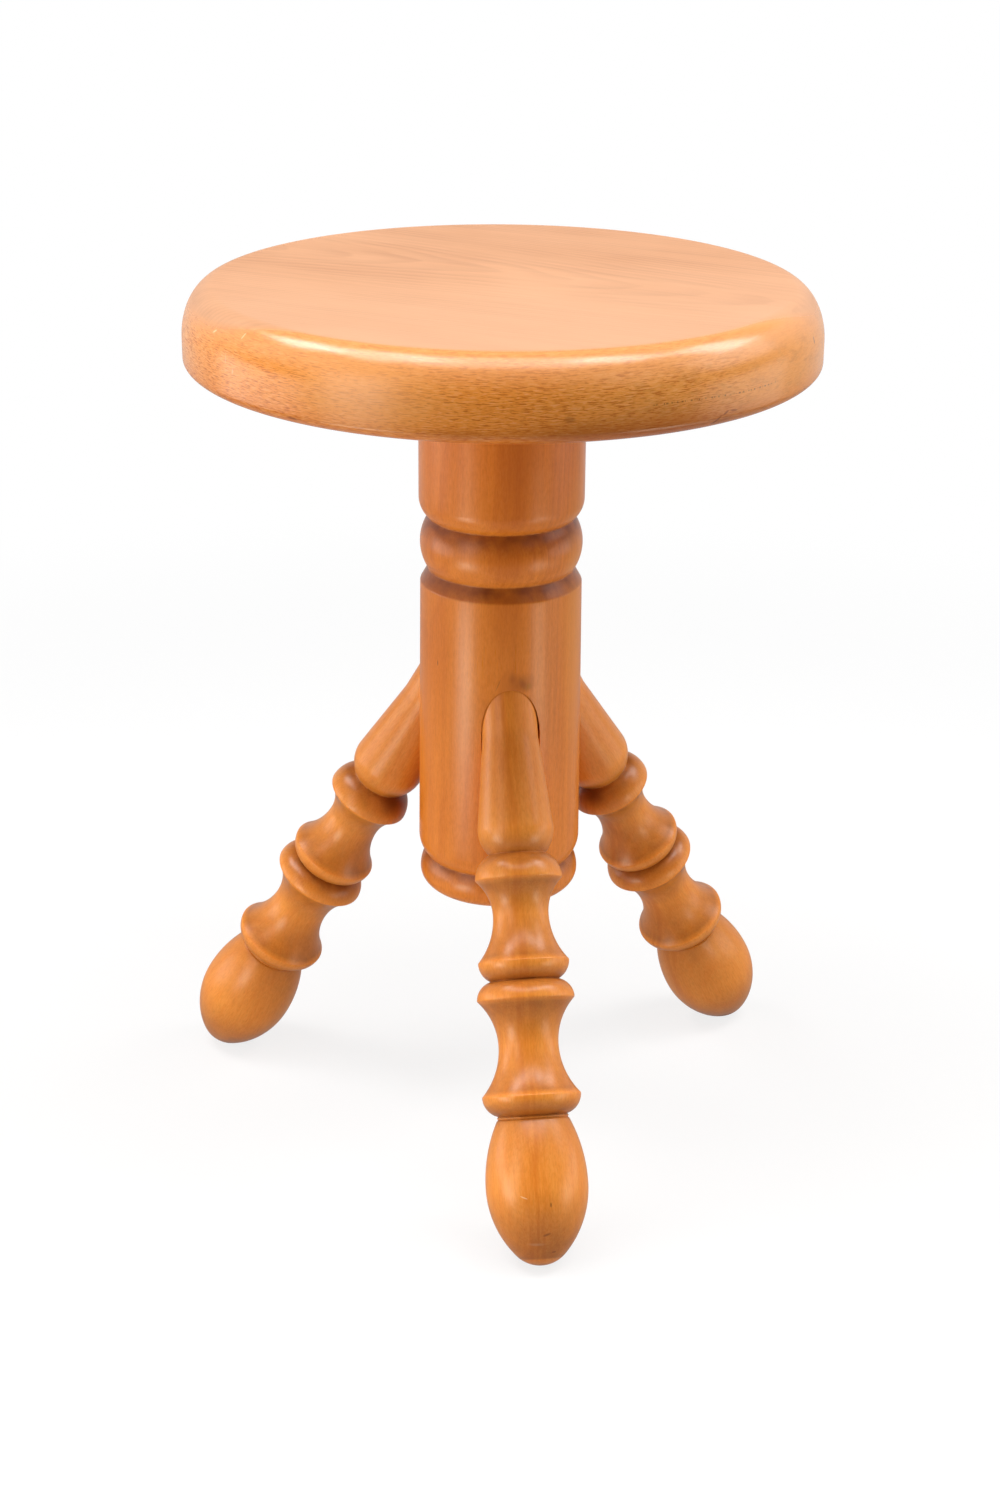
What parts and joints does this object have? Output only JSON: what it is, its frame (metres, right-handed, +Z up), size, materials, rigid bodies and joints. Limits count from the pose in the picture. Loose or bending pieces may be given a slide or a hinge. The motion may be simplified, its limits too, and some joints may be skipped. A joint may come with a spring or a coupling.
{
  "type": "turned wooden stool",
  "caption": "Low wooden stool with a thick round seat on a turned column and splayed turned legs that end in egg-shaped feet.",
  "frame": {"origin": "the point of the floor under the column's axis, midway between the three feet", "axes": "+Z up along the column, -Y towards the front leg, +X towards the right when the front leg points at the viewer"},
  "size_m": [0.3182, 0.3363, 0.45],
  "materials": {
    "seat_wood": "glossy lacquer over orange-stained beech, flat-sawn board",
    "column_wood": "glossy lacquer over orange-stained beech, grain along the column",
    "leg_front_wood": "glossy lacquer over orange-stained beech, grain along the leg",
    "leg_right_wood": "glossy lacquer over orange-stained beech, grain along the leg",
    "leg_left_wood": "glossy lacquer over orange-stained beech, grain along the leg"
  },
  "bodies": {
    "root": {"seat": "seat_wood", "column": "column_wood", "leg_front": "leg_front_wood", "leg_right": "leg_right_wood", "leg_left": "leg_left_wood"}
  },
  "joints": []
}
